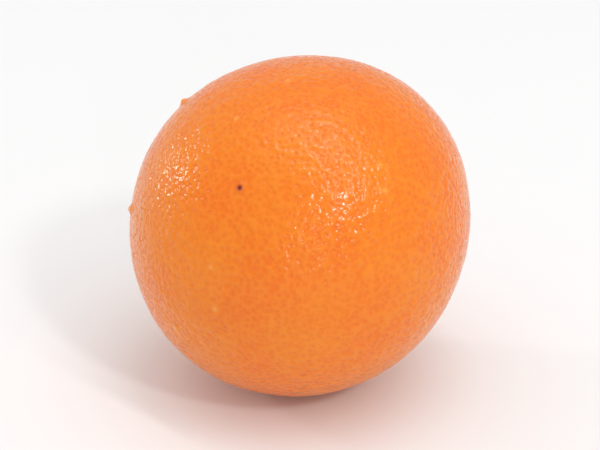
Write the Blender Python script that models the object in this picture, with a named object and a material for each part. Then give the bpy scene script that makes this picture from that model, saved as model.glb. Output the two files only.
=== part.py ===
"""A whole orange, as picked, resting on its small flat spot.

Metres, +Z up, origin at the middle of the flat spot. The blossom end, with the flower's scar, faces
-Y and a little up and to the left. The stem end, with its calyx, is low at the back.

Two pieces: the fruit, grown as one solid, and the calyx, the five-lobed button that stays on the
stem end when the fruit is cut from the tree.
"""

from math import acos, atan2, cos, exp, pi, radians, sin, sqrt

import bmesh
import bpy
from mathutils import Matrix, Vector

# The fruit
EQUATOR_DIAMETER = 0.078
POLE_TO_POLE = 0.0760  # as an egg-smooth form, before the two ends are flattened and dipped
BLOSSOM_TURN = radians(25)  # the blossom end's turn from -Y towards -X
BLOSSOM_RISE = radians(37)  # and its rise above the horizontal
OVAL = 0.020  # the equator is an oval: this share of the radius longer one way, shorter the other
SQUARENESS = 0.006  # and four soft corners stand out by this share
WIDEST_AT = radians(58)  # where round the equator the oval's long way lies, from the right side
THREE_SIDEDNESS = 0.007  # three very soft corners as well, so that no two sides are quite alike
FULLEST_AT = radians(49)  # where the first of those three lies
BLOSSOM_FLAT_DEPTH = 0.0004
BLOSSOM_FLAT_SPREAD = radians(15)
STEM_DIP_DEPTH = 0.0026
STEM_DIP_SPREAD = radians(10)
FURROWS = 10  # faint furrows that run down into the stem dip, one for each segment inside
FURROW_DEPTH = 0.00022
FURROW_CENTRE = radians(15)
FURROW_SPREAD = radians(6)
RESTING_SPOT_DIAMETER = 0.014
FRUIT_SUBDIVISIONS = 5  # of an icosahedron: 5120 faces

# The calyx, measured along the peel from the middle of the stem end and up from the peel
CALYX_GAP = 0.0003
SEPALS = 5
SEPAL_TIP_RADIUS = 0.0056
SEPAL_NOTCH_RADIUS = 0.0036
STALK_RADIUS = 0.0016
STALK_HEIGHT = 0.0026
CALYX_RIM_THICKNESS = 0.0005
CALYX_THICKNESS = 0.0011
STALK_EDGE_ROUNDING = 0.0002
CALYX_SIDES = 40

OBJECT_NAME = "orange"
PEEL_COLOUR = (0.95, 0.26, 0.03, 1.0)
CALYX_COLOUR = (0.16, 0.17, 0.06, 1.0)


def clear_scene():
    for thing in list(bpy.data.objects):
        bpy.data.objects.remove(thing, do_unlink=True)


def fruit_axes():
    """The fruit's own axes as a rotation: its right side, its upper side, and its blossom end."""
    blossom = Vector(
        (
            -sin(BLOSSOM_TURN) * cos(BLOSSOM_RISE),
            -cos(BLOSSOM_TURN) * cos(BLOSSOM_RISE),
            sin(BLOSSOM_RISE),
        )
    )
    right = Vector((cos(BLOSSOM_TURN), -sin(BLOSSOM_TURN), 0.0))
    upper = blossom.cross(right)
    return Matrix((right, upper, blossom)).transposed()


def hump(angle, spread):
    """1 in the middle, falling smoothly to nothing about two spreads away."""
    return exp(-((angle / spread) ** 2))


def peel_radius(direction):
    """Distance from the fruit's middle to its peel, for a unit direction on the fruit's own axes."""
    from_blossom = acos(max(-1.0, min(1.0, direction.z)))
    from_stem = pi - from_blossom
    around = atan2(direction.y, direction.x)
    side = sin(from_blossom)
    equator = EQUATOR_DIAMETER / 2
    pole = POLE_TO_POLE / 2
    smooth = 1 / sqrt((side / equator) ** 2 + (direction.z / pole) ** 2)
    oval = OVAL * side**2 * cos(2 * (around - WIDEST_AT))
    corners = SQUARENESS * side**4 * cos(4 * (around - WIDEST_AT))
    fullness = THREE_SIDEDNESS * side**3 * cos(3 * (around - FULLEST_AT))
    furrows = FURROW_DEPTH * cos(FURROWS * around) * hump(from_stem - FURROW_CENTRE, FURROW_SPREAD)
    return (
        smooth * (1 + oval + corners + fullness)
        - BLOSSOM_FLAT_DEPTH * hump(from_blossom, BLOSSOM_FLAT_SPREAD)
        - STEM_DIP_DEPTH * hump(from_stem, STEM_DIP_SPREAD)
        - furrows
    )


def above_peel(along, around, height):
    """The point this far along the peel from the middle of the stem end, and this high above it."""
    from_stem = along / (POLE_TO_POLE / 2 - STEM_DIP_DEPTH)
    direction = Vector(
        (sin(from_stem) * cos(around), sin(from_stem) * sin(around), -cos(from_stem))
    )
    return direction * (peel_radius(direction) + height)


def material(name, colour, roughness):
    made = bpy.data.materials.new(name)
    made.use_nodes = True
    shader = made.node_tree.nodes["Principled BSDF"]
    shader.inputs["Base Color"].default_value = colour
    shader.inputs["Roughness"].default_value = roughness
    shader.inputs["Metallic"].default_value = 0.0
    return made


def add_object(name, mesh_in_edit, collection, finish):
    """Turns the edited mesh into a named object with its own material."""
    mesh = bpy.data.meshes.new(name)
    mesh_in_edit.to_mesh(mesh)
    mesh_in_edit.free()
    mesh.materials.append(finish)
    mesh.shade_smooth()
    mesh.set_sharp_from_angle(angle=radians(40))
    made = bpy.data.objects.new(name, mesh)
    collection.objects.link(made)
    return made


def fruit_mesh():
    """A fine icosahedral ball whose every point moves out or in to the peel, turned as it lies."""
    ball = bmesh.new()
    bmesh.ops.create_icosphere(ball, subdivisions=FRUIT_SUBDIVISIONS, radius=1.0)
    for point in ball.verts:
        direction = point.co.normalized()
        point.co = direction * peel_radius(direction)
    bmesh.ops.rotate(ball, matrix=fruit_axes(), verts=ball.verts)
    return ball


def flatten_resting_spot(ball):
    """Cuts the flat spot at the lowest point and returns its middle."""
    sag = EQUATOR_DIAMETER / 2 - sqrt(EQUATOR_DIAMETER**2 - RESTING_SPOT_DIAMETER**2) / 2
    floor = min(point.co.z for point in ball.verts) + sag
    everything = ball.verts[:] + ball.edges[:] + ball.faces[:]
    cut = bmesh.ops.bisect_plane(
        ball,
        geom=everything,
        plane_co=(0, 0, floor),
        plane_no=(0, 0, -1),
        clear_outer=True,
    )
    rim = [item for item in cut["geom_cut"] if isinstance(item, bmesh.types.BMEdge)]
    spot = bmesh.ops.contextual_create(ball, geom=rim)["faces"][0]
    bmesh.ops.recalc_face_normals(ball, faces=ball.faces)
    return spot.calc_center_bounds()


def calyx_outline(around):
    """How far the calyx reaches from its middle: out at the five sepals, in at the notches."""
    share = (1 + cos(SEPALS * around)) / 2
    return SEPAL_NOTCH_RADIUS + (SEPAL_TIP_RADIUS - SEPAL_NOTCH_RADIUS) * share


def calyx_profile():
    """The calyx's section as rings, each (along, height): from the middle of its underside, out to
    the rim, over the top and up the stalk to its cut end. along runs 0 to 1 over the stalk's foot
    and 1 to 2 from there to the rim of the sepals."""
    underside = [(step / 2, CALYX_GAP) for step in (0, 1, 2, 3, 3.8)]
    rim = [(2.0, CALYX_GAP + CALYX_RIM_THICKNESS / 2)]
    top = [
        (1.9, CALYX_GAP + CALYX_RIM_THICKNESS),
        (1.5, CALYX_GAP + CALYX_RIM_THICKNESS + (CALYX_THICKNESS - CALYX_RIM_THICKNESS) * 0.6),
        (1.12, CALYX_GAP + CALYX_THICKNESS),
    ]
    stalk = [
        (1.0, CALYX_GAP + CALYX_THICKNESS + STALK_EDGE_ROUNDING * 2),
        (0.98, CALYX_GAP + STALK_HEIGHT - STALK_EDGE_ROUNDING),
        (0.98 - STALK_EDGE_ROUNDING / STALK_RADIUS, CALYX_GAP + STALK_HEIGHT),
        (0.0, CALYX_GAP + STALK_HEIGHT),
    ]
    return underside + rim + top + stalk


def calyx_mesh():
    """A button turned from its section, with the rim drawn out into sepals that follow the peel."""
    button = bmesh.new()
    section = [button.verts.new((along, 0.0, height)) for along, height in calyx_profile()]
    edges = [button.edges.new(pair) for pair in zip(section[:-1], section[1:])]
    bmesh.ops.spin(
        button,
        geom=section + edges,
        cent=(0, 0, 0),
        axis=(0, 0, 1),
        angle=2 * pi,
        steps=CALYX_SIDES,
        use_merge=True,
    )
    bmesh.ops.remove_doubles(button, verts=button.verts, dist=1e-6)
    for point in button.verts:
        share = sqrt(point.co.x**2 + point.co.y**2)
        around = atan2(point.co.y, point.co.x)
        if share <= 1:
            along = STALK_RADIUS * share
        else:
            along = STALK_RADIUS + (calyx_outline(around) - STALK_RADIUS) * (share - 1)
        point.co = above_peel(along, around, point.co.z)
    bmesh.ops.rotate(button, matrix=fruit_axes(), verts=button.verts)
    bmesh.ops.recalc_face_normals(button, faces=button.faces)
    return button


def main():
    clear_scene()
    collection = bpy.data.collections.new(OBJECT_NAME)
    bpy.context.scene.collection.children.link(collection)
    fruit = fruit_mesh()
    calyx = calyx_mesh()
    to_origin = -flatten_resting_spot(fruit)
    for piece in (fruit, calyx):
        bmesh.ops.translate(piece, vec=to_origin, verts=piece.verts)
    add_object("fruit", fruit, collection, material("peel", PEEL_COLOUR, 0.42))
    add_object("calyx", calyx, collection, material("dry_calyx", CALYX_COLOUR, 0.8))


main()
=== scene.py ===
"""The looks of a whole orange: its pored, waxy peel and the dry calyx at its stem end."""

from math import asin, cos, pi, radians, sin, tan

import bpy
import numpy as np
from mathutils import Matrix, Vector


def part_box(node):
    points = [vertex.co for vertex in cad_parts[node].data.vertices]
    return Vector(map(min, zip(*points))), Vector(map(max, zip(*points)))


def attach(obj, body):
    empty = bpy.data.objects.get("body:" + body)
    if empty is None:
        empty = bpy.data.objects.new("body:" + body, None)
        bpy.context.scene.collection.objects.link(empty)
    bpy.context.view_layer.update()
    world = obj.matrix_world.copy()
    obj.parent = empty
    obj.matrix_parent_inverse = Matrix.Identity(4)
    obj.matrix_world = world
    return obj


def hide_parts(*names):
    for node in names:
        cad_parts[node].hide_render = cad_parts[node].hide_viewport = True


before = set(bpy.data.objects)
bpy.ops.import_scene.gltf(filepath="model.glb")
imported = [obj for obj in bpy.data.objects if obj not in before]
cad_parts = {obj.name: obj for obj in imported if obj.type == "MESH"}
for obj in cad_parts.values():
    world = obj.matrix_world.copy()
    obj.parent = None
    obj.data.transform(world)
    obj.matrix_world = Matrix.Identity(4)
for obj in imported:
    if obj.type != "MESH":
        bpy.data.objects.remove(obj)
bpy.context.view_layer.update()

# The fruit's form, the same as its solid in the frame has
EQUATOR_DIAMETER = 0.078
POLE_TO_POLE = 0.0760
BLOSSOM_TURN = radians(25)  # from -Y towards -X
BLOSSOM_RISE = radians(37)
OVAL = 0.020
SQUARENESS = 0.006
WIDEST_AT = radians(58)
THREE_SIDEDNESS = 0.007
FULLEST_AT = radians(49)
BLOSSOM_FLAT_DEPTH = 0.0004
BLOSSOM_FLAT_SPREAD = radians(15)
STEM_DIP_DEPTH = 0.0026
STEM_DIP_SPREAD = radians(10)
FURROWS = 10
FURROW_DEPTH = 0.00022
FURROW_CENTRE = radians(15)
FURROW_SPREAD = radians(6)

# The peel's mesh
PEEL_SUBDIVISIONS = 7  # of a cube: 98304 faces, about 0.4 mm across
SCAR_REFINEMENTS = (0.0032, 0.0016)  # within each of these of the scar's middle, faces are halved
FLAT_SPOT_ROUNDING = 0.00012

# The peel's pores. The mesh holds the broad part of the ridges between them, and the material the rest
SWELLS = ((0.0110, 0.00030), (0.0035, 0.00020))  # slow unevenness: how wide and how high
PORES_APART = 0.00118
BROAD_RIDGE_HEIGHT = 0.00012
SHARP_RIDGE_HEIGHT = 0.00017
PORE_CORE_WIDTH = 0.00022
PORE_CORE_DEPTH = 0.00004
PORE_TINT_AND_SHADE_WIDTH = 0.00034
SMALL_PORES_APART = 0.00062
SMALL_RIDGE_HEIGHT = 0.00006
PORE_PATCH_SIZE = 0.0030
PORE_PATCH_DEPTHS = (0.45, 1.55)  # pores are this many times as deep in the mildest and boldest patch
WAX_GRAIN_SIZE = 0.00045
WAX_GRAIN_HEIGHT = 0.000010

# The flower's scar, and the creases that run out from it and from under the calyx
SCAR_RADIUS = 0.00048
SCAR_DEPTH = 0.00022
SCAR_LIP_RADIUS = 0.0010
SCAR_LIP_HEIGHT = 0.00005
SCAR_CREASES = 9
SCAR_CREASE_DEPTH = 0.00006
SCAR_CREASE_WIDTH = 0.00045
SCAR_CREASE_ENDS = (0.0030, 0.0070)
STEM_CREASES = 13
STEM_CREASE_DEPTH = 0.00022
STEM_CREASE_WIDTH = 0.00060
STEM_CREASE_ENDS = (0.0080, 0.0140)

# Small raised warts: turn to the right of the front, rise above the middle, radius, height
WARTS = (
    (radians(-111), radians(43), 0.00100, 0.00095),
    (radians(-84), radians(9), 0.00095, 0.00090),
    (radians(-24), radians(80), 0.00060, 0.00022),
    (radians(-44), radians(59), 0.00050, 0.00018),
    (radians(36), radians(42), 0.00045, 0.00026),
    (radians(34), radians(34), 0.00060, 0.00030),
    (radians(-30), radians(10), 0.00050, 0.00016),
    (radians(-28), radians(-4), 0.00065, 0.00020),
    (radians(-47), radians(-19), 0.00080, 0.00024),
)

# The calyx
CALYX_SIDES = 150
SEPALS = 5
SEPAL_TIP_RADIUS = 0.0056
SEPAL_NOTCH_RADIUS = 0.0034
SEPAL_POINTEDNESS = 1.05
SEPAL_UNEVENNESS = 0.08
SEPAL_TURN_UNEVENNESS = radians(4)
SEPAL_RIB_HEIGHT = 0.00022
SEPAL_CURL = 0.0005
STALK_RADIUS = 0.0016
STALK_HEIGHT = 0.0029
STALK_SLANT = (0.00025, 0.00012)  # of its cut end, over one radius each way
PITH_DEPTH = 0.00012
CALYX_RIM_THICKNESS = 0.0004
CALYX_THICKNESS = 0.0013
CALYX_SINK = 0.0003  # how far its underside sits in the peel, so that no gap shows

# Waves round the calyx: how many, how high, and the angle that they are turned by
STALK_RIDGES = ((7, 0.035, 1.0), (13, 0.020, 0.0))  # as shares of the stalk's radius
SEPAL_WRINKLES = ((31, 0.00005, 0.0), (47, 0.00004, 2.0))
PITH_WAVES = ((5, 0.00005, 0.0),)

# The peel's colours
DEEP_PEEL = (0.82, 0.163, 0.006, 1)
LIGHT_PEEL = (0.82, 0.208, 0.009, 1)
MOTTLED_PEEL = (0.85, 0.248, 0.012, 1)
# Lighter yellow on the ridges: partly the peel's own tone, partly painted light on the raised ridges
RIDGE_TONE_AND_PAINTED_LIGHT = (0.88, 0.300, 0.020, 1)
# Darker red in the pores: partly the oil glands' own colour, partly painted shade in the pits
PORE_TINT_AND_PAINTED_SHADE = (0.79, 0.13, 0.004, 1)
# Pale yellow on the warts: a painted glow of light through them, not the peel's colour
PAINTED_WART_GLOW = (0.92, 0.40, 0.08, 1)
CREASED_PEEL = (0.62, 0.09, 0.015, 1)
SCAR_BROWN = (0.20, 0.016, 0.018, 1)
STEM_GREEN = (0.42, 0.27, 0.02, 1)

# The calyx's colours
SEPAL_OLIVE = (0.115, 0.110, 0.030, 1)
SEPAL_BROWN = (0.185, 0.130, 0.048, 1)
SEPAL_TIP_BROWN = (0.20, 0.115, 0.045, 1)
SEPAL_STREAK = (0.065, 0.052, 0.020, 1)
DARK_BARK = (0.11, 0.085, 0.045, 1)
LIGHT_BARK = (0.21, 0.165, 0.10, 1)
LIGHT_WOOD = (0.42, 0.30, 0.155, 1)
DARK_WOOD = (0.24, 0.155, 0.075, 1)
HEART_WOOD = (0.16, 0.095, 0.045, 1)
WOOD_RING_CLOSENESS = 5200.0  # radians of their wave for each metre out from the middle

# The studio
FLOOR_SIZE = 12.0
FLOOR_DROP = 0.0001  # below the flat spot
FLOOR_WHITE = (0.85, 0.85, 0.85, 1)
ROOM_LIGHT = 0.68
CAMERA_ELEVATION = radians(27)
CAMERA_DISTANCE = 0.42
FRUIT_SHARE_OF_FRAME = 0.76

# Each lamp: name, direction from the fruit's middle, distance, width, height, radiance
LAMPS = (
    ("overhead", (0.0, 0.0, 1.0), 5.0, 5.0, 3.9, 0.70),
    ("window", (0.28, -0.26, 0.92), 2.0, 0.14, 2.25, 10.5),
    ("key", (0.43, -0.635, 0.64), 2.0, 0.175, 0.225, 58.0),
    ("low_front", (0.14, -0.94, 0.30), 2.0, 0.15, 0.25, 19.0),
    ("side", (-0.88, 0.38, 0.285), 2.0, 0.13, 0.23, 60.0),
)


class Wire:
    """One output of a node. Sums, differences, products and quotients of wires add Math nodes."""

    def __init__(self, tree, socket=None):
        self.tree = tree
        self.socket = socket

    def node(self, kind, settings=None, inputs=None, output=0):
        """Adds a node, sets its settings and then its inputs, and gives one output's wire."""
        made = self.tree.nodes.new(kind)
        for name, value in (settings or {}).items():
            setattr(made, name, value)
        for name, value in (inputs or {}).items():
            if isinstance(value, Wire):
                self.tree.links.new(value.socket, made.inputs[name])
            else:
                made.inputs[name].default_value = value
        if len(made.outputs) == 0:
            return None
        return Wire(self.tree, made.outputs[output])

    def math(self, operation, *values):
        return self.node("ShaderNodeMath", {"operation": operation}, dict(enumerate(values)))

    def vector_math(self, operation, *values, output=0):
        settings = {"operation": operation}
        return self.node("ShaderNodeVectorMath", settings, dict(enumerate(values)), output)

    def __add__(self, other):
        return self.math("ADD", self, other)

    __radd__ = __add__

    def __sub__(self, other):
        return self.math("SUBTRACT", self, other)

    def __rsub__(self, other):
        return self.math("SUBTRACT", other, self)

    def __mul__(self, other):
        return self.math("MULTIPLY", self, other)

    __rmul__ = __mul__

    def __truediv__(self, other):
        return self.math("DIVIDE", self, other)

    def __neg__(self):
        return self.math("MULTIPLY", self, -1.0)

    def root(self):
        return self.math("SQRT", self)

    def sine(self):
        return self.math("SINE", self)

    def larger(self, other):
        return self.math("MAXIMUM", self, other)

    def hump(self, spread):
        """1 where this is 0, falling smoothly to nothing about two spreads away."""
        share = self / spread
        return self.math("EXPONENT", -(share * share))

    def between(self, low, high):
        """0 below low, 1 above high, and smooth between them."""
        return self.node(
            "ShaderNodeMapRange",
            {"interpolation_type": "SMOOTHSTEP"},
            {"Value": self, "From Min": low, "From Max": high},
        )

    def dot(self, direction):
        return self.vector_math("DOT_PRODUCT", self, tuple(direction), output="Value")

    def minus(self, place):
        return self.vector_math("SUBTRACT", self, tuple(place))

    def noise(self, size, detail, roughness=0.5):
        """Soft noise around 0.5, its patches about this size."""
        return self.node(
            "ShaderNodeTexNoise",
            inputs={"Vector": self, "Scale": 1 / size, "Detail": detail, "Roughness": roughness},
        )

    def pits(self, apart, width):
        """1 at the bottom of pits scattered about this far apart, 0 between them."""
        distance = self.node(
            "ShaderNodeTexVoronoi",
            {"feature": "F1"},
            {"Vector": self, "Scale": 1 / apart},
            output="Distance",
        )
        return distance.hump(width / apart)

    def pebbles(self, apart):
        """Rises from 0 at the bottom of each pit to about 0.6 on the rounded ridges between them."""
        return self.node(
            "ShaderNodeTexVoronoi",
            {"feature": "SMOOTH_F1"},
            {"Vector": self, "Scale": 1 / apart, "Smoothness": 0.35},
            output="Distance",
        )

    def blend(self, colour_at_0, colour_at_1):
        """The two colours mixed by this wire."""
        return self.node(
            "ShaderNodeMix", {"data_type": "RGBA"}, {0: self, 6: colour_at_0, 7: colour_at_1}, 2
        )


# ---------------------------------------------------------------- working on meshes


def deselect_all():
    bpy.ops.object.select_all(action="DESELECT")


def edit(piece, kind):
    """Goes into edit mode on the piece, to select its points or faces."""
    deselect_all()
    piece.select_set(True)
    bpy.context.view_layer.objects.active = piece
    bpy.ops.object.mode_set(mode="EDIT")
    bpy.ops.mesh.select_mode(type=kind)


def leave_edit():
    bpy.ops.object.mode_set(mode="OBJECT")


def apply_modifier(piece, name):
    deselect_all()
    piece.select_set(True)
    bpy.context.view_layer.objects.active = piece
    bpy.ops.object.modifier_apply(modifier=name)


def name_piece(piece, name):
    piece.name = name
    piece.data.name = name


def points_of(mesh):
    points = np.empty(len(mesh.vertices) * 3, np.float32)
    mesh.vertices.foreach_get("co", points)
    return points.reshape(-1, 3).astype(float)


def set_points(mesh, points):
    mesh.vertices.foreach_set("co", points.astype(np.float32).ravel())
    mesh.update()


def unit(points):
    return points / np.linalg.norm(points, axis=1, keepdims=True)


def hump(distance, spread):
    """1 in the middle, falling smoothly to nothing about two spreads away."""
    return np.exp(-((distance / spread) ** 2))


def rising(value, low, high):
    """0 below low, 1 above high, and smooth between them."""
    share = np.clip((value - low) / (high - low), 0, 1)
    return share * share * (3 - 2 * share)


def waves(around, parts):
    """The sum of cosines round a circle, each part a count, a height and a turn."""
    return sum(height * np.cos(count * around + turn) for count, height, turn in parts)


# ---------------------------------------------------------------- the fruit's form


def fruit_axes():
    """The fruit's own axes as a rotation: its right side, its upper side, and its blossom end."""
    blossom = Vector(
        (
            -sin(BLOSSOM_TURN) * cos(BLOSSOM_RISE),
            -cos(BLOSSOM_TURN) * cos(BLOSSOM_RISE),
            sin(BLOSSOM_RISE),
        )
    )
    right = Vector((cos(BLOSSOM_TURN), -sin(BLOSSOM_TURN), 0.0))
    return Matrix((right, blossom.cross(right), blossom)).transposed()


def peel_radius(own):
    """Distance from the fruit's middle to its peel, for unit directions on the fruit's own axes."""
    x, y, z = own.T
    from_blossom = np.arccos(np.clip(z, -1, 1))
    from_stem = pi - from_blossom
    around = np.arctan2(y, x)
    side = np.sin(from_blossom)
    smooth = 1 / np.sqrt((side / (EQUATOR_DIAMETER / 2)) ** 2 + (z / (POLE_TO_POLE / 2)) ** 2)
    oval = OVAL * side**2 * np.cos(2 * (around - WIDEST_AT))
    corners = SQUARENESS * side**4 * np.cos(4 * (around - WIDEST_AT))
    fullness = THREE_SIDEDNESS * side**3 * np.cos(3 * (around - FULLEST_AT))
    furrows = FURROW_DEPTH * np.cos(FURROWS * around)
    return (
        smooth * (1 + oval + corners + fullness)
        - BLOSSOM_FLAT_DEPTH * hump(from_blossom, BLOSSOM_FLAT_SPREAD)
        - STEM_DIP_DEPTH * hump(from_stem, STEM_DIP_SPREAD)
        - furrows * hump(from_stem - FURROW_CENTRE, FURROW_SPREAD)
    )


def creases(from_end, around, count, depth, width, start, ends, seed):
    """Furrows that run straight out from one end of the fruit, as metres below the peel."""
    chance = np.random.default_rng(seed)
    below = np.zeros(len(around))
    for crease in range(count):
        heading = 2 * pi * (crease + chance.uniform(-0.3, 0.3)) / count
        end = chance.uniform(*ends)
        off_heading = np.angle(np.exp(1j * (around - heading)))
        aside = np.where(np.abs(off_heading) < 1, off_heading * from_end, EQUATOR_DIAMETER)
        reach = rising(from_end, start, 2 * start) * (1 - rising(from_end, end / 2, end))
        below += depth * reach * hump(aside, width)
    return below


def scar_relief(own):
    """The flower's scar and the creases round it, in metres above the peel."""
    x, y, z = own.T
    from_scar = np.arccos(np.clip(z, -1, 1)) * POLE_TO_POLE / 2
    around = np.arctan2(y, x)
    lip = SCAR_LIP_HEIGHT * hump(from_scar - SCAR_LIP_RADIUS, SCAR_LIP_RADIUS / 3)
    pit = SCAR_DEPTH * hump(from_scar, SCAR_RADIUS)
    depth, width, ends = SCAR_CREASE_DEPTH, SCAR_CREASE_WIDTH, SCAR_CREASE_ENDS
    return lip - pit - creases(
        from_scar, around, SCAR_CREASES, depth, width, SCAR_LIP_RADIUS, ends, 3
    )


def stem_relief(own):
    """The creases that the peel gathers into under the calyx, in metres above the peel."""
    x, y, z = own.T
    from_stem = np.arccos(np.clip(-z, -1, 1)) * POLE_TO_POLE / 2
    around = np.arctan2(y, x)
    depth, width, ends = STEM_CREASE_DEPTH, STEM_CREASE_WIDTH, STEM_CREASE_ENDS
    return -creases(from_stem, around, STEM_CREASES, depth, width, STALK_RADIUS, ends, 5)


def wart_relief(directions):
    """The raised warts: their height in metres above the peel, and where they are, from 0 to 1, which
    is where a painted glow goes on them.
    """
    relief = np.zeros(len(directions))
    glow_shares = np.zeros(len(directions))
    for turn, rise, radius, height in WARTS:
        wart = np.array((sin(turn) * cos(rise), -cos(turn) * cos(rise), sin(rise)))
        distance = np.linalg.norm(directions - wart, axis=1) * EQUATOR_DIAMETER / 2
        relief += height * hump(distance, radius)
        glow_shares += hump(distance, radius)
    return relief, glow_shares


# ---------------------------------------------------------------- the fruit


def subdivided_ball():
    """A cube subdivided to a ball, its faces nearly all of one size."""
    deselect_all()
    bpy.ops.mesh.primitive_cube_add(size=2.0, location=(0, 0, 0))
    ball = bpy.context.object
    subdivision = ball.modifiers.new("subdivision", "SUBSURF")
    subdivision.levels = PEEL_SUBDIVISIONS
    subdivision.render_levels = PEEL_SUBDIVISIONS
    apply_modifier(ball, "subdivision")
    return ball


def refine_round_scar(ball):
    """Halves the faces round the blossom end, where the scar's small shapes need it."""
    blossom = np.array(fruit_axes().transposed()[2])
    for reach in SCAR_REFINEMENTS:
        centres = np.empty(len(ball.data.polygons) * 3, np.float32)
        ball.data.polygons.foreach_get("center", centres)
        centres = unit(centres.reshape(-1, 3).astype(float))
        near = np.linalg.norm(centres - blossom, axis=1) * POLE_TO_POLE / 2 < reach
        edit(ball, "FACE")
        bpy.ops.mesh.select_all(action="DESELECT")
        leave_edit()
        ball.data.polygons.foreach_set("select", near)
        edit(ball, "FACE")
        bpy.ops.mesh.subdivide(number_cuts=1)
        leave_edit()


def peel_texture_tree():
    """Geometry nodes that move each point of the peel out along its normal by the broad relief."""
    tree = bpy.data.node_groups.new("pored_peel", "GeometryNodeTree")
    tree.interface.new_socket("Geometry", in_out="INPUT", socket_type="NodeSocketGeometry")
    tree.interface.new_socket("Geometry", in_out="OUTPUT", socket_type="NodeSocketGeometry")
    wires = Wire(tree)
    peel = wires.node("NodeGroupInput")
    place = wires.node("GeometryNodeInputPosition")
    outward = wires.node("GeometryNodeInputNormal")
    offset = wires.node(
        "ShaderNodeVectorMath", {"operation": "SCALE"}, {0: outward, "Scale": broad_relief(place)}
    )
    pored = wires.node("GeometryNodeSetPosition", inputs={"Geometry": peel, "Offset": offset})
    wires.node("NodeGroupOutput", inputs={0: pored})
    return tree


def broad_relief(place):
    """The peel's slow swells and the broad ridges between its pores, in metres."""
    slow, slower = ((place.noise(width, 1.0) - 0.5) * height for width, height in SWELLS)
    return slow + slower + place.pebbles(PORES_APART) * BROAD_RIDGE_HEIGHT


def fine_relief(place):
    """Sharper ridges between the pores, a pit at the bottom of each, and small pores, in metres."""
    ridges = place.pebbles(PORES_APART) * SHARP_RIDGE_HEIGHT
    cores = place.pits(PORES_APART, PORE_CORE_WIDTH) * PORE_CORE_DEPTH
    small_ridges = place.pebbles(SMALL_PORES_APART) * SMALL_RIDGE_HEIGHT
    mildest, boldest = PORE_PATCH_DEPTHS
    patches = mildest + place.noise(PORE_PATCH_SIZE, 1.0) * (boldest - mildest)
    return (ridges - cores + small_ridges) * patches


def make_fruit():
    """Makes the peel over the fruit's solid, and gives the fruit's middle."""
    fruit = subdivided_ball()
    refine_round_scar(fruit)
    name_piece(fruit, "fruit_peel")
    directions = unit(points_of(fruit.data))
    own = directions @ np.array(fruit_axes())
    smooth = directions * peel_radius(own)[:, None]
    low, high = (np.array(corner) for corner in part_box("fruit"))
    middle = (low + high) / 2 - (smooth.min(0) + smooth.max(0)) / 2
    middle[2] = high[2] - smooth[:, 2].max()
    warts, wart_glow_shares = wart_relief(directions)
    relief = scar_relief(own) + stem_relief(own) + warts
    set_points(fruit.data, smooth + directions * relief[:, None] + middle)
    # Stores where the warts are, for the painted glow on them
    attribute = fruit.data.attributes.new("warts", "FLOAT", "POINT")
    attribute.data.foreach_set("value", wart_glow_shares.astype(np.float32))
    texture = fruit.modifiers.new("pores", "NODES")
    texture.node_group = peel_texture_tree()
    apply_modifier(fruit, "pores")
    settle_flat_spot(fruit)
    fruit.data.shade_smooth()
    fruit.data.materials.append(peel_material(Vector(middle)))
    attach(fruit, "root")
    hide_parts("fruit")
    return Vector(middle)


def settle_flat_spot(fruit):
    """Brings every point below the floor up to it, with a small rounding at the spot's edge."""
    points = points_of(fruit.data)
    points[:, 2] = FLAT_SPOT_ROUNDING * np.logaddexp(0, points[:, 2] / FLAT_SPOT_ROUNDING)
    set_points(fruit.data, points)


# ---------------------------------------------------------------- the calyx


def calyx_section():
    """The calyx's section, each point (share, height) with share from 0 to 1 over the stalk's foot
    and from 1 to 2 over the sepals, and height from 0 on the underside to 1 on top of them and 2 on
    the stalk's cut end."""
    underside = [(share, 0.0) for share in np.linspace(0.0, 1.9, 8)]
    rim = [(1.97, 0.2), (2.0, 0.5), (1.98, 0.8), (1.94, 1.0)]
    top = [(share, 1.0) for share in np.linspace(1.86, 1.1, 14)]
    foot = [(1.03, 1.1), (1.0, 1.2)]
    side = [(0.99, height) for height in np.linspace(1.3, 1.9, 8)]
    edge = [(0.975, 1.955), (0.94, 1.985), (0.88, 2.0)]
    cut = [(share, 2.0) for share in np.linspace(0.78, 0.0, 9)]
    return underside + rim + top + foot + side + edge + cut


def turned(section, steps):
    """A closed turned shape: a point extruded along the section, then spun about Z."""
    places = [Vector((across, 0.0, height)) for across, height in section]
    deselect_all()
    bpy.ops.mesh.primitive_plane_add(size=0.1, location=places[0])
    made = bpy.context.object
    edit(made, "VERT")
    bpy.ops.mesh.merge(type="CENTER")
    for start, end in zip(places, places[1:]):
        bpy.ops.mesh.extrude_region_move(TRANSFORM_OT_translate={"value": end - start})
    bpy.ops.mesh.select_all(action="SELECT")
    bpy.ops.mesh.spin(steps=steps, angle=2 * pi, center=(0, 0, 0), axis=(0, 0, 1))
    bpy.ops.mesh.select_all(action="SELECT")
    bpy.ops.mesh.remove_doubles(threshold=0.0001)
    bpy.ops.mesh.normals_make_consistent(inside=False)
    leave_edit()
    bpy.ops.object.transform_apply(location=True, rotation=True, scale=True)
    return made


def sepal_shares(around):
    """For each direction round the calyx: how far it lies from its notch (0) to its tip (1), and how
    many times the usual length its sepal is."""
    chance = np.random.default_rng(8)
    turns = 2 * pi * np.arange(SEPALS) / SEPALS
    turns = turns + chance.uniform(-1, 1, SEPALS) * SEPAL_TURN_UNEVENNESS
    lengths = 1 + chance.uniform(-1, 1, SEPALS) * SEPAL_UNEVENNESS
    away = np.abs(np.angle(np.exp(1j * (around[:, None] - turns))))
    nearest = away.argmin(1)
    closest = np.sort(away, axis=1)
    share = 1 - 2 * closest[:, 0] / (closest[:, 0] + closest[:, 1])
    return share, lengths[nearest]


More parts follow.
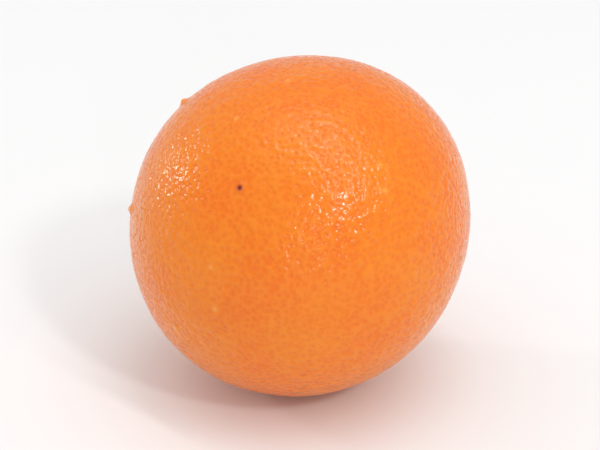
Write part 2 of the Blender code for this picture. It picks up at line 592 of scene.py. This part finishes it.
def calyx_reach(share, around, outward, to_tip, longer):
    """How far along the peel each point lies from the middle of the stem end."""
    tip = SEPAL_TIP_RADIUS * longer
    reach = SEPAL_NOTCH_RADIUS + (tip - SEPAL_NOTCH_RADIUS) * to_tip**SEPAL_POINTEDNESS
    foot = STALK_RADIUS * (1 + waves(around, STALK_RIDGES))
    return foot * np.minimum(share, 1) + (reach - foot) * outward


def calyx_lift(x, y, height, around, outward, to_tip, longer):
    """How high each point lies above the calyx's underside."""
    share = np.hypot(x, y)
    thickness = CALYX_THICKNESS + (CALYX_RIM_THICKNESS - CALYX_THICKNESS) * outward**0.7
    on_sepals = rising(outward, 0.0, 0.3)
    rib = SEPAL_RIB_HEIGHT * hump(1 - to_tip, 0.22) * on_sepals * (1 - outward)
    wrinkles = waves(around, SEPAL_WRINKLES) * on_sepals
    curl = SEPAL_CURL * rising(outward, 0.6, 1.0) * to_tip * (1.4 - longer * 0.6)
    slant = STALK_SLANT[0] * x + STALK_SLANT[1] * y
    pith = PITH_DEPTH * hump(share, 0.3) + waves(around, PITH_WAVES) * hump(share - 0.55, 0.2)
    top = np.clip(height, 0, 1)
    up_stalk = np.clip(height - 1, 0, 1)
    lift = (thickness + rib + wrinkles) * top + curl
    lift += (STALK_HEIGHT - CALYX_THICKNESS + slant) * up_stalk
    return lift - pith * rising(up_stalk, 0.97, 1.0)


def drape_calyx(calyx, middle):
    """Moves the turned shape's points on to the stem end, and draws its rim out into sepals."""
    x, y, height = points_of(calyx.data).T
    share = np.hypot(x, y)
    around = np.arctan2(y, x)
    outward = np.clip(share - 1, 0, 1)
    to_tip, longer = sepal_shares(around)
    along = calyx_reach(share, around, outward, to_tip, longer)
    lift = calyx_lift(x, y, height, around, outward, to_tip, longer)
    from_stem = along / (POLE_TO_POLE / 2 - STEM_DIP_DEPTH)
    own = np.stack(
        (np.sin(from_stem) * np.cos(around), np.sin(from_stem) * np.sin(around), -np.cos(from_stem)),
        axis=1,
    )
    placed = own * (peel_radius(own) - CALYX_SINK + lift)[:, None]
    set_points(calyx.data, placed @ np.array(fruit_axes()).T + np.array(middle))


def make_calyx(middle):
    calyx = turned(calyx_section(), CALYX_SIDES)
    name_piece(calyx, "stem_calyx")
    drape_calyx(calyx, middle)
    edit(calyx, "FACE")
    bpy.ops.mesh.select_all(action="SELECT")
    bpy.ops.mesh.normals_make_consistent(inside=False)
    leave_edit()
    calyx.data.shade_smooth()
    calyx.data.materials.append(calyx_material(middle))
    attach(calyx, "root")
    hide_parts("calyx")


# ---------------------------------------------------------------- materials


def new_material(name):
    """A material, its shader, and the wire of the place on the piece."""
    made = bpy.data.materials.new(name)
    made.use_nodes = True
    shader = made.node_tree.nodes["Principled BSDF"]
    place = Wire(made.node_tree).node("ShaderNodeTexCoord", output="Object")
    return made, shader, place


def feed(shader, **inputs):
    """Links or sets the shader's sockets, named with _ for each space."""
    for name, value in inputs.items():
        socket = shader.inputs[name.replace("_", " ")]
        if isinstance(value, Wire):
            value.tree.links.new(value.socket, socket)
        else:
            socket.default_value = value


def on_fruit_axes(place, middle):
    """The place as three wires: to the fruit's right, to its upper side and to its blossom end."""
    from_middle = place.minus(middle)
    return [from_middle.dot(axis) for axis in fruit_axes().transposed()]


def peel_material(middle):
    """Waxy orange peel: two sizes of pores, a slow drift of hue and the dark flower scar, with painted
    shade in the pores, painted light on the ridges between them and a painted glow on the warts.
    """
    made, shader, place = new_material("orange_peel")
    x, y, z = on_fruit_axes(place, middle)
    off_axis = (x * x + y * y).root()
    blossom_side = z.between(0.0, 0.01)
    pores = place.pits(PORES_APART, PORE_TINT_AND_SHADE_WIDTH)
    ridges = place.pebbles(PORES_APART).between(0.35, 0.75)
    drift = place.noise(0.018, 3.0).between(0.3, 0.7)
    mottle = place.noise(0.0024, 2.0).between(0.3, 0.7)
    warts = place.node("ShaderNodeAttribute", {"attribute_name": "warts"}, output="Fac")
    creased = blossom_side * (1 - off_axis.between(0.0006, 0.0020))
    scar = blossom_side * (1 - off_axis.between(0.00025, 0.00085))
    green = (1 - blossom_side) * off_axis.hump(0.0075) * place.noise(0.003, 3.0).between(0.2, 0.8)
    colour = drift.blend(DEEP_PEEL, LIGHT_PEEL)
    colour = (mottle * 0.20).blend(colour, MOTTLED_PEEL)
    # Lighter, yellower ridges: partly the peel's own tone, partly painted light on the raised ridges
    colour = (ridges * 0.25).blend(colour, RIDGE_TONE_AND_PAINTED_LIGHT)
    # Darker, redder pits: partly the oil glands' own tone, partly painted shade in the pits
    colour = (pores * 0.22).blend(colour, PORE_TINT_AND_PAINTED_SHADE)
    # Painted glow: pale yellow light painted on to the warts
    colour = (warts * 0.7).blend(colour, PAINTED_WART_GLOW)
    colour = (creased * 0.35).blend(colour, CREASED_PEEL)
    colour = scar.blend(colour, SCAR_BROWN)
    colour = (green * 0.6).blend(colour, STEM_GREEN)
    height = fine_relief(place) + (place.noise(WAX_GRAIN_SIZE, 2.0) - 0.5) * WAX_GRAIN_HEIGHT
    normal = place.node("ShaderNodeBump", inputs={"Height": height, "Distance": 1.0})
    roughness = 0.145 + (place.noise(0.0012, 2.0) - 0.5) * 0.10 + pores * 0.06 + scar * 0.4
    feed(shader, Base_Color=colour, Roughness=roughness, Normal=normal, IOR=1.40)
    feed(shader, Subsurface_Weight=0.15, Subsurface_Scale=0.002)
    feed(shader, Subsurface_Radius=(1.0, 0.35, 0.1))
    return made


def calyx_material(middle):
    """Dry sepals, olive to brown with fine radial streaks, and a grey-brown stalk cut across."""
    made, shader, place = new_material("dry_calyx")
    x, y, z = on_fruit_axes(place, middle)
    off_axis = (x * x + y * y).root().larger(0.0001)
    round_stem = {0: x / off_axis * 4.0, 1: y / off_axis * 4.0, 2: off_axis * 300.0}
    fibres = place.node("ShaderNodeCombineXYZ", inputs=round_stem)
    streaks = fibres.noise(1.0, 4.0, 0.6).between(0.3, 0.7)
    patches = place.noise(0.0016, 3.0).between(0.3, 0.7)
    to_tip = off_axis.between(0.0026, 0.0056)
    stem_height = -z - (POLE_TO_POLE / 2 - STEM_DIP_DEPTH)
    stalk = stem_height.between(0.0010, 0.0016)
    cut = stem_height.between(0.00215, 0.0024) * (1 - off_axis.between(0.00140, 0.00155))
    rings = (off_axis * WOOD_RING_CLOSENESS).sine() * 0.5 + 0.5
    bark = streaks.blend(DARK_BARK, LIGHT_BARK)
    wood = (rings * 0.5 + patches * 0.3).blend(LIGHT_WOOD, DARK_WOOD)
    wood = off_axis.hump(0.0004).blend(wood, HEART_WOOD)
    colour = patches.blend(SEPAL_OLIVE, SEPAL_BROWN)
    colour = (to_tip * 0.7).blend(colour, SEPAL_TIP_BROWN)
    colour = (streaks * 0.55).blend(colour, SEPAL_STREAK)
    colour = stalk.blend(colour, bark)
    colour = cut.blend(colour, wood)
    height = streaks * 0.00006 + (place.noise(0.0003, 3.0) - 0.5) * 0.00006
    normal = place.node("ShaderNodeBump", inputs={"Height": height, "Distance": 1.0})
    roughness = 0.72 + (patches - 0.5) * 0.16
    feed(shader, Base_Color=colour, Roughness=roughness, Normal=normal, IOR=1.4)
    return made


# ---------------------------------------------------------------- the studio


def make_floor():
    deselect_all()
    bpy.ops.mesh.primitive_plane_add(size=FLOOR_SIZE, location=(0, 0, -FLOOR_DROP))
    floor = bpy.context.object
    floor.name = "floor"
    finish = bpy.data.materials.new("pale_floor")
    finish.use_nodes = True
    feed(finish.node_tree.nodes["Principled BSDF"], Base_Color=FLOOR_WHITE, Roughness=0.6)
    floor.data.materials.append(finish)


def softbox(name, towards, distance, width, height, radiance, aim):
    """An area lamp this far from the fruit's middle, in this direction, facing it."""
    lamp = bpy.data.lights.new(name, "AREA")
    lamp.shape = "RECTANGLE"
    lamp.size = width
    lamp.size_y = height
    lamp.energy = radiance * pi * width * height
    made = bpy.data.objects.new(name, lamp)
    direction = Vector(towards).normalized()
    made.location = aim + direction * distance
    made.rotation_euler = direction.to_track_quat("Z", "Y").to_euler()
    bpy.context.scene.collection.objects.link(made)


def light_studio(middle):
    world = bpy.data.worlds.new("studio")
    world.use_nodes = True
    room = world.node_tree.nodes["Background"]
    room.inputs["Color"].default_value = (1, 1, 1, 1)
    room.inputs["Strength"].default_value = ROOM_LIGHT
    bpy.context.scene.world = world
    for lamp in LAMPS:
        softbox(*lamp, middle)


def place_camera(middle):
    """Looks down on the fruit's middle from the front, with the fruit filling most of the frame."""
    camera = bpy.data.cameras.new("camera")
    camera.sensor_width = 36.0
    frame_height = camera.sensor_width * 450 / 600
    half_angle = asin(EQUATOR_DIAMETER / 2 / CAMERA_DISTANCE)
    camera.lens = FRUIT_SHARE_OF_FRAME * frame_height / 2 / tan(half_angle)
    camera.clip_start = 0.01
    made = bpy.data.objects.new("camera", camera)
    back = Vector((0, -cos(CAMERA_ELEVATION), sin(CAMERA_ELEVATION)))
    made.location = middle + back * CAMERA_DISTANCE
    made.rotation_euler = back.to_track_quat("Z", "Y").to_euler()
    bpy.context.scene.collection.objects.link(made)
    bpy.context.scene.camera = made


middle = make_fruit()
make_calyx(middle)
make_floor()
light_studio(middle)
place_camera(middle)
bpy.context.scene.view_settings.view_transform = "Standard"
